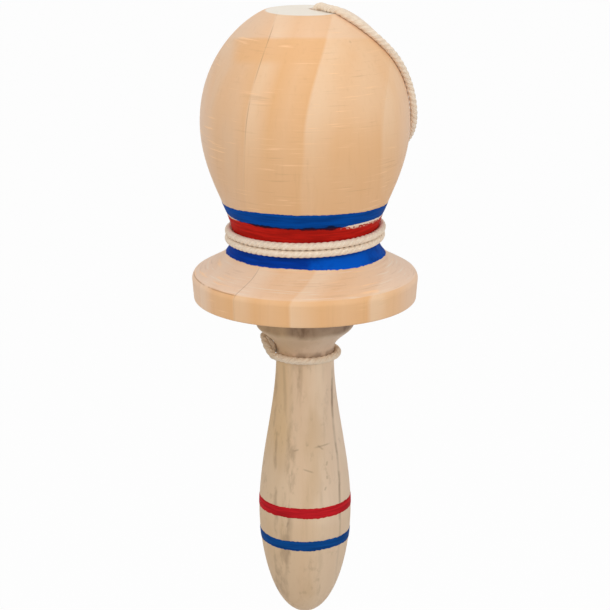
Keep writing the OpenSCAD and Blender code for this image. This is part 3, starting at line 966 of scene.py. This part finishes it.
# The cord's way in millimetres: up its hole and out of it, over the shoulder and down behind to the waist
HOLE_POINTS = [(3, 3.6, 155), (3, 3.6, 166), (3, 3.6, 174), (3, 3.6, 177.8), (3.3, 3, 180.4),
               (4.2, 1.3, 182.3), (5.4, -1, 183)]
SHOULDER_POINTS = [(7.1, -4, 183.1), (9.1, -7.1, 183.1), (11.3, -9.5, 182.9), (13.7, -10.6, 181.3),
                   (16.2, -10.9, 179.9), (18.6, -11.1, 178.3), (21, -11, 176.5), (23.6, -10.4, 174.4),
                   (26.2, -9.6, 172), (28.6, -8.3, 169.4), (30.8, -6.8, 166.7), (32.7, -5.5, 163.8),
                   (34.3, -4.2, 160.5), (35.8, -3, 157), (36.9, -2.1, 153.2), (37.6, -1, 149.4),
                   (37.9, 0.5, 145.2), (37.8, 3.2, 140.9), (36.9, 7.2, 136.9), (35, 11.9, 133.2),
                   (32.1, 16.7, 129.6), (28.1, 20.8, 125.4), (24.1, 22.9, 120.6), (20.9, 23.2, 115.8),
                   (19.6, 22.4, 111.8), (19.8, 20.8, 108.8), (20.6, 19.4, 107.2)]

# The turns round the waist: where they start, how far they go round and how far they have gone when they
# first pass the front, all in degrees. Then, in millimetres, their height there above the underside and their
# pitch.
TURNS_START, TURNS_SWEEP, TURNS_FRONT = 30, 630, 120
TURNS_HEIGHT, TURNS_PITCH = 25.2, 2.66

# Down the flare at the back, over the rim, and sagging round to the left of the neck
FLARE_POINTS = [(-8.6, 27.2, 99.5), (-8.1, 28.7, 97.6), (-7.9, 31, 95.6), (-7.6, 34.4, 93.7),
                (-7.4, 37.8, 91.9), (-7.3, 40.7, 90.1), (-7.2, 41.3, 87)]
DROP_POINTS = [(-7.2, 41.3, 82), (-7.2, 41.3, 77), (-7.2, 41, 72), (-7.2, 40.2, 67), (-7.3, 38.4, 62.4),
               (-7.5, 35.2, 58.4), (-7.8, 30.8, 55.6), (-8.3, 25.6, 54.4), (-9.2, 20.4, 54.6),
               (-10.4, 15.6, 55.8), (-11.8, 11.2, 57.4), (-13.1, 7.4, 59.9)]

# The knot: up over the cove and down into the neck loop, whose end comes round under it and up beside it.
# The loop has its angles in degrees.
KNOT_IN = [(-14.3, 4.2, 63.1), (-14.7, 1.8, 64.9), (-14.7, -0.6, 65.3), (-14.3, -2.5, 64.4),
           (-13.6, -3.9, 62.9), (-12.7, -4.7, 61.4), (-11.8, -5.5, 60.3), (-10.7, -6.3, 59.6)]
LOOP_ANGLES, LOOP_HEIGHT = range(222, 526, 15), 59.5
KNOT_OUT = [(-11.6, 0.2, 59.8), (-11.5, -1.2, 60.6), (-11.5, -2.2, 61.6), (-11.8, -2.6, 62.7),
            (-12.5, -2.4, 63.8), (-13.2, -2, 64.7), (-13.7, -1.6, 65.3)]

# The stopper knot: heights of the cord in its hole, then its coil's radius, top and depth, and its tucked end
STOPPER_IN = (156, 150, 144, 138.5, 136.4)
STOPPER_RADIUS, STOPPER_TOP, STOPPER_DEPTH = 1.7, 134.8, 2.4
STOPPER_OUT = [(3.4, 3.2, 132.2), (3.1, 3.6, 131.4), (3, 3.6, 130.8)]

# Distance between two points of a cord's centreline
CORD_STEP = 0.3 * MM


def vectors(points):
    """Points in metres, from points in millimetres."""
    return [Vector(p) * MM for p in points]


def round_axis(radius, degrees, z):
    """A point at an angle round the toy's axis."""
    angle = math.radians(degrees)
    return Vector((radius * math.cos(angle), radius * math.sin(angle), z))


def cord_path(bell, handle, cord):
    """The cord's centreline from its hole to its end in the knot."""
    outline = bell_outline(bell)
    whole = [Vector((0, outline[0].y))] + outline
    stand = cord.diameter / 2 + 0.02 * MM
    on_paint, off_flare = stand + 0.15 * MM, stand + 0.3 * MM
    top = vectors(HOLE_POINTS) + [laid_on(p, whole, stand) for p in vectors(SHOULDER_POINTS)]
    turns = []
    for sweep in range(0, TURNS_SWEEP + 1, 15):
        z = UNDERSIDE + TURNS_HEIGHT * MM + TURNS_PITCH * MM * (TURNS_FRONT - sweep) / 360
        turns.append(round_axis(radius_at(outline, z) + on_paint, TURNS_START - sweep, z))
    drop = [laid_on(p, outline, off_flare) for p in vectors(FLARE_POINTS)] + vectors(DROP_POINTS)
    loop = [round_axis(handle.neck / 2 + stand, degrees, LOOP_HEIGHT * MM) for degrees in LOOP_ANGLES]
    path = smooth_path(top + turns + drop + vectors(KNOT_IN) + loop + vectors(KNOT_OUT), CORD_STEP)
    knot_start = min(range(len(path)), key=lambda i: (path[i] - drop[-1]).length)
    return relaxed(path, knot_start, passes=40)


def stopper_path():
    """The stopper knot's centreline, from inside the hole round a small coil to its tucked end."""
    points = [(HOLE_X, HOLE_Y, z) for z in STOPPER_IN]
    for i in range(20):
        angle, sink = math.radians(-50 + 30 * i), i / 19
        points.append((HOLE_X + STOPPER_RADIUS * math.cos(angle), HOLE_Y + STOPPER_RADIUS * math.sin(angle),
                       STOPPER_TOP - STOPPER_DEPTH * sink))
    return smooth_path(vectors(points + STOPPER_OUT), CORD_STEP)


# Where the camera stands and looks, in millimetres
CAMERA = (0, -665.6, 271.4)
AIM = (0, 0, 76.8)

# Each lamp's name, place and width in millimetres, and power
LAMPS = (("lamp_top", (0, -150, 1000), 700, 2.3), ("lamp_left", (-850, -550, 420), 700, 2.2),
         ("lamp_right", (850, -550, 380), 700, 2.4), ("lamp_front", (60, -1000, 330), 700, 1.8))

WHITE = (1, 1, 1, 1)


class TOY_OT_stage(bpy.types.Operator):
    """Set the camera, the soft lamps, the white surround and the floor"""
    bl_idname = "toy.stage"
    bl_label = "Set the Stage"

    def execute(self, context):
        scene, stage = context.scene, context.scene.toy_stage
        scene.view_settings.view_transform = "Standard"
        lens = bpy.data.cameras.new("camera")
        lens.lens, lens.sensor_width, lens.clip_start = stage.lens, 36, 0.01
        scene.camera = self.aimed("camera", lens, CAMERA)
        for name, place, size, power in LAMPS:
            soft = bpy.data.lights.new(name, "AREA")
            soft.size, soft.energy = size * MM, power * stage.lamps
            self.aimed(name, soft, place)
        world = bpy.data.worlds.new("surround")
        world.use_nodes = True
        scene.world = world
        net = Net(world.node_tree)
        world.node_tree.nodes.clear()
        light = net.node("ShaderNodeBackground", {0: WHITE, 1: stage.ambient}).outputs[0]
        white = net.node("ShaderNodeBackground", {0: WHITE, 1: 1.0}).outputs[0]
        shown = net.node("ShaderNodeMixShader", {0: self.seen(net), 1: light, 2: white}).outputs[0]
        net.node("ShaderNodeOutputWorld", {0: shown})
        ground = bpy.data.materials.new("floor_white")
        ground.use_nodes = True
        ground.node_tree.nodes.clear()
        net = Net(ground.node_tree)
        matt = net.node("ShaderNodeBsdfDiffuse", {0: (0.7, 0.7, 0.7, 1)}).outputs[0]
        glow = net.node("ShaderNodeEmission", {0: WHITE, 1: 1.0}).outputs[0]
        share = net.times(self.seen(net), 0.97)
        both = net.node("ShaderNodeMixShader", {0: share, 1: matt, 2: glow}).outputs[0]
        net.node("ShaderNodeOutputMaterial", {0: both})
        mesh = bpy.data.meshes.new("floor")
        half = 6.0
        corners = [(-half, -half), (half, -half), (half, half), (-half, half)]
        mesh.from_pydata([(x, y, -stage.drop) for x, y in corners], [], [(0, 1, 2, 3)])
        mesh.materials.append(ground)
        new_piece("floor", mesh)
        return {"FINISHED"}

    @staticmethod
    def aimed(name, data, place):
        """A camera or a lamp at a place, turned to the toy."""
        made = new_piece(name, data)
        made.location = Vector(place) * MM
        made.rotation_euler = (Vector(AIM) * MM - made.location).to_track_quat("-Z", "Y").to_euler()
        return made

    @staticmethod
    def seen(net):
        """One where the camera looks, straight or by way of gloss or glass."""
        path = net.node("ShaderNodeLightPath").outputs
        both = net.math("MAXIMUM", path["Is Camera Ray"], path["Is Glossy Ray"])
        return net.math("MAXIMUM", both, path["Is Transmission Ray"])


class TOY_OT_cord(bpy.types.Operator):
    """Lay the twisted cord from its hole to the neck, with its knots"""
    bl_idname = "toy.cord"
    bl_label = "String the Cord"

    def execute(self, context):
        scene = context.scene
        cord = scene.toy_cord
        tree, finish = twisted_cord_tree(), cotton(cord)
        settings = dict(diameter=cord.diameter, lay=cord.lay, ring_spacing=cord.rings, points_round=27,
                        material=finish)
        path = cord_path(scene.toy_bell, scene.toy_handle, cord)
        line = made_by(tree, "cord", wire("cord_line", path), **settings)
        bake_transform(line)
        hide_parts("cord_top_stretch", "cord_waist_winding", "cord_drop", "cord_neck_loop",
                    "cord_neck_knot")
        stopper = made_by(tree, "stopper_knot", wire("stopper_line", stopper_path()), **settings)
        dress(stopper, "bell", "cord_cotton", "cord_stopper_knot")
        return {"FINISHED"}


class TOY_OT_bell(bpy.types.Operator):
    """Turn the bell, with its socket and its cord hole"""
    bl_idname = "toy.bell"
    bl_label = "Turn the Bell"

    def execute(self, context):
        scene = context.scene
        bell, handle, cord = scene.toy_bell, scene.toy_handle, scene.toy_cord
        around_collar, around_cord, bend = 1.5 * MM, 0.45 * MM, 5.2 * MM
        top, end = UNDERSIDE + bell.height, UNDERSIDE + bell.socket_depth
        hole = Vector((HOLE_X, HOLE_Y, 0)) * MM
        way = round_axis(1, HOLE_WAY, 0)
        # A straight bore, and a mouth that follows the cord's bend out of it
        bore = round_tube("bore", [hole + Vector((0, 0, z)) for z in (end - MM, top + MM)],
                          cord.diameter / 2 + around_cord)
        bend_z = top + cord.diameter / 2 + 0.3 * MM - bend
        turn = [hole + (bend - bend * math.cos(a)) * way + Vector((0, 0, bend_z + bend * math.sin(a)))
                for a in (math.radians(d) for d in range(-12, 85, 6))]
        mouth = round_tube("mouth", turn, cord.diameter / 2 + around_cord)
        piece = turned("bell_wood", bell_profile(bell, handle.collar / 2 + around_collar), bell.facets,
                       bell_wood(bell), cutters=(bore, mouth))
        dress(piece, "bell", "bell_wood", "bell")
        return {"FINISHED"}


class TOY_OT_handle(bpy.types.Operator):
    """Turn the handle, with its peg, collar, neck and grip"""
    bl_idname = "toy.handle"
    bl_label = "Turn the Handle"

    def execute(self, context):
        handle = context.scene.toy_handle
        piece = turned("handle_wood", handle_profile(handle), handle.facets, handle_wood(handle))
        dress(piece, "handle", "handle_wood", "handle")
        return {"FINISHED"}


class TOY_OT_bands(bpy.types.Operator):
    """Paint the bands on the bell and the handle"""
    bl_idname = "toy.bands"
    bl_label = "Paint the Bands"

    def execute(self, context):
        scene = context.scene
        coats = scene.toy_paint
        bell_side, grip_side = bell_outline(scene.toy_bell), handle_outline(scene.toy_handle)

        def edge(z, seed, waver=1.0):
            """A brushed edge at a height in millimetres."""
            return lambda a: z * MM + ragged(a, seed, coats.waver * waver, coats.jag)

        def to_right(a):
            """Angle to the right of the front."""
            return math.atan2(math.sin(a + math.pi / 2), math.cos(a + math.pi / 2))

        def hump(right, middle, half):
            """A smooth rise from zero to one round a middle, with its half width, both in degrees."""
            return math.exp(-((math.degrees(right) - middle) / half) ** 2)

        def rise(value, start, run):
            """A straight rise from zero to one after a start."""
            return min(1, max(0, (value - start) / run))

        def lap(a):
            """How wide the dark lap of the upper blue and the red is to each side of their seam."""
            right = to_right(a)
            thick = 0.35 * hump(right, -31, 8) + 0.4 * hump(right, 3, 8) + 0.7 * hump(right, 18.5, 5)
            return (thick + 0.32) * MM if -0.95 < right < 0.52 else -MM

        def bare(a):
            """Width of the bare strip between the red and the upper blue, to the sides of their lap."""
            right = to_right(a)
            return (0.8 * rise(right, 0.5, 0.1) + 0.9 * rise(-right, 0.95, 0.25)) * MM

        def outer(a, left, right):
            """A change that grows from the front to its two sides."""
            return (right if to_right(a) > 0 else left) * MM * min(1, abs(to_right(a)) / 1.4) ** 2

        def foot(a):
            """Lower edge of the lower blue, which slants down to the right."""
            slant = 0.45 * hump(to_right(a), -12, 15) - 0.4 * hump(to_right(a), 42, 26)
            return low_foot(a) + slant * MM - outer(a, 0.2, 0.8)

        seam, blue_top, low_foot = edge(111.4, 2.2, 0.4), edge(116.6, 5.9), edge(97.1, 7.4)
        bands = (("bell_band_red", bell_side, edge(105.4, 1.1), lambda a: seam(a) - 0.6 * bare(a),
                  coats.bell_red, "bell", "red_paint"),
                 ("bell_band_upper_blue", bell_side, lambda a: seam(a) + 0.3 * bare(a),
                  lambda a: blue_top(a) - outer(a, 1.2, 1.2), coats.upper_blue, "bell", "blue_paint"),
                 ("bell_band_lower_blue", bell_side, foot, edge(103.1, 8.8),
                  coats.lower_blue, "bell", "blue_paint"),
                 ("handle_band_red", grip_side, edge(1.8, 10.3), edge(5.5, 11.9),
                  coats.grip_red, "handle", "red_paint"),
                 ("handle_band_blue", grip_side, edge(-11.0, 13.1), edge(-7.4, 14.6),
                  coats.grip_blue, "handle", "blue_paint"))
        finishes = {"bell_band_lower_blue": {"bright": coats.bright_blue},
                    "bell_band_red": {"worn_from": 0.010}}
        laps = {"bell_band_red": {"lap": lap}, "bell_band_upper_blue": {"lap": lap, "lap_below": True}}
        for name, side, low, high, rgb, body, slot in bands:
            finish = paint(name, rgb, **finishes.get(name, {}))
            skin = band(name + "_paint", side, low, high, coats.coat, finish, **laps.get(name, {}))
            dress(skin, body, slot, name)
        return {"FINISHED"}


class TOY_PT_panel(bpy.types.Panel):
    """Sizes, colours and pieces of the toy"""
    bl_idname = "TOY_PT_panel"
    bl_label = "Cup and Ball Toy"
    bl_space_type = "VIEW_3D"
    bl_region_type = "UI"
    bl_category = "Toy"

    def draw(self, context):
        for operator in OPERATORS:
            self.layout.operator(operator.bl_idname)
        for name, group in GROUPS:
            box = self.layout.box()
            box.label(text=group.__doc__)
            for key in group.__annotations__:
                box.prop(getattr(context.scene, name), key)


GROUPS = (("toy_bell", ToyBell), ("toy_handle", ToyHandle), ("toy_paint", ToyPaint), ("toy_cord", ToyCord),
          ("toy_stage", ToyStage))
OPERATORS = (TOY_OT_stage, TOY_OT_cord, TOY_OT_bell, TOY_OT_handle, TOY_OT_bands)


def register():
    """Registers the sizes, the operators and the panel."""
    for name, group in GROUPS:
        bpy.utils.register_class(group)
        setattr(bpy.types.Scene, name, PointerProperty(type=group))
    for kind in OPERATORS + (TOY_PT_panel,):
        bpy.utils.register_class(kind)


def unregister():
    """Takes them away again, last first."""
    for kind in (TOY_PT_panel,) + OPERATORS[::-1]:
        bpy.utils.unregister_class(kind)
    for name, group in GROUPS[::-1]:
        delattr(bpy.types.Scene, name)
        bpy.utils.unregister_class(group)


def main():
    """Registers the sizes, and builds the toy and its stage."""
    register()
    bpy.ops.toy.stage()
    bpy.ops.toy.cord()
    bpy.ops.toy.bell()
    bpy.ops.toy.handle()
    bpy.ops.toy.bands()


if __name__ == "__main__":
    main()
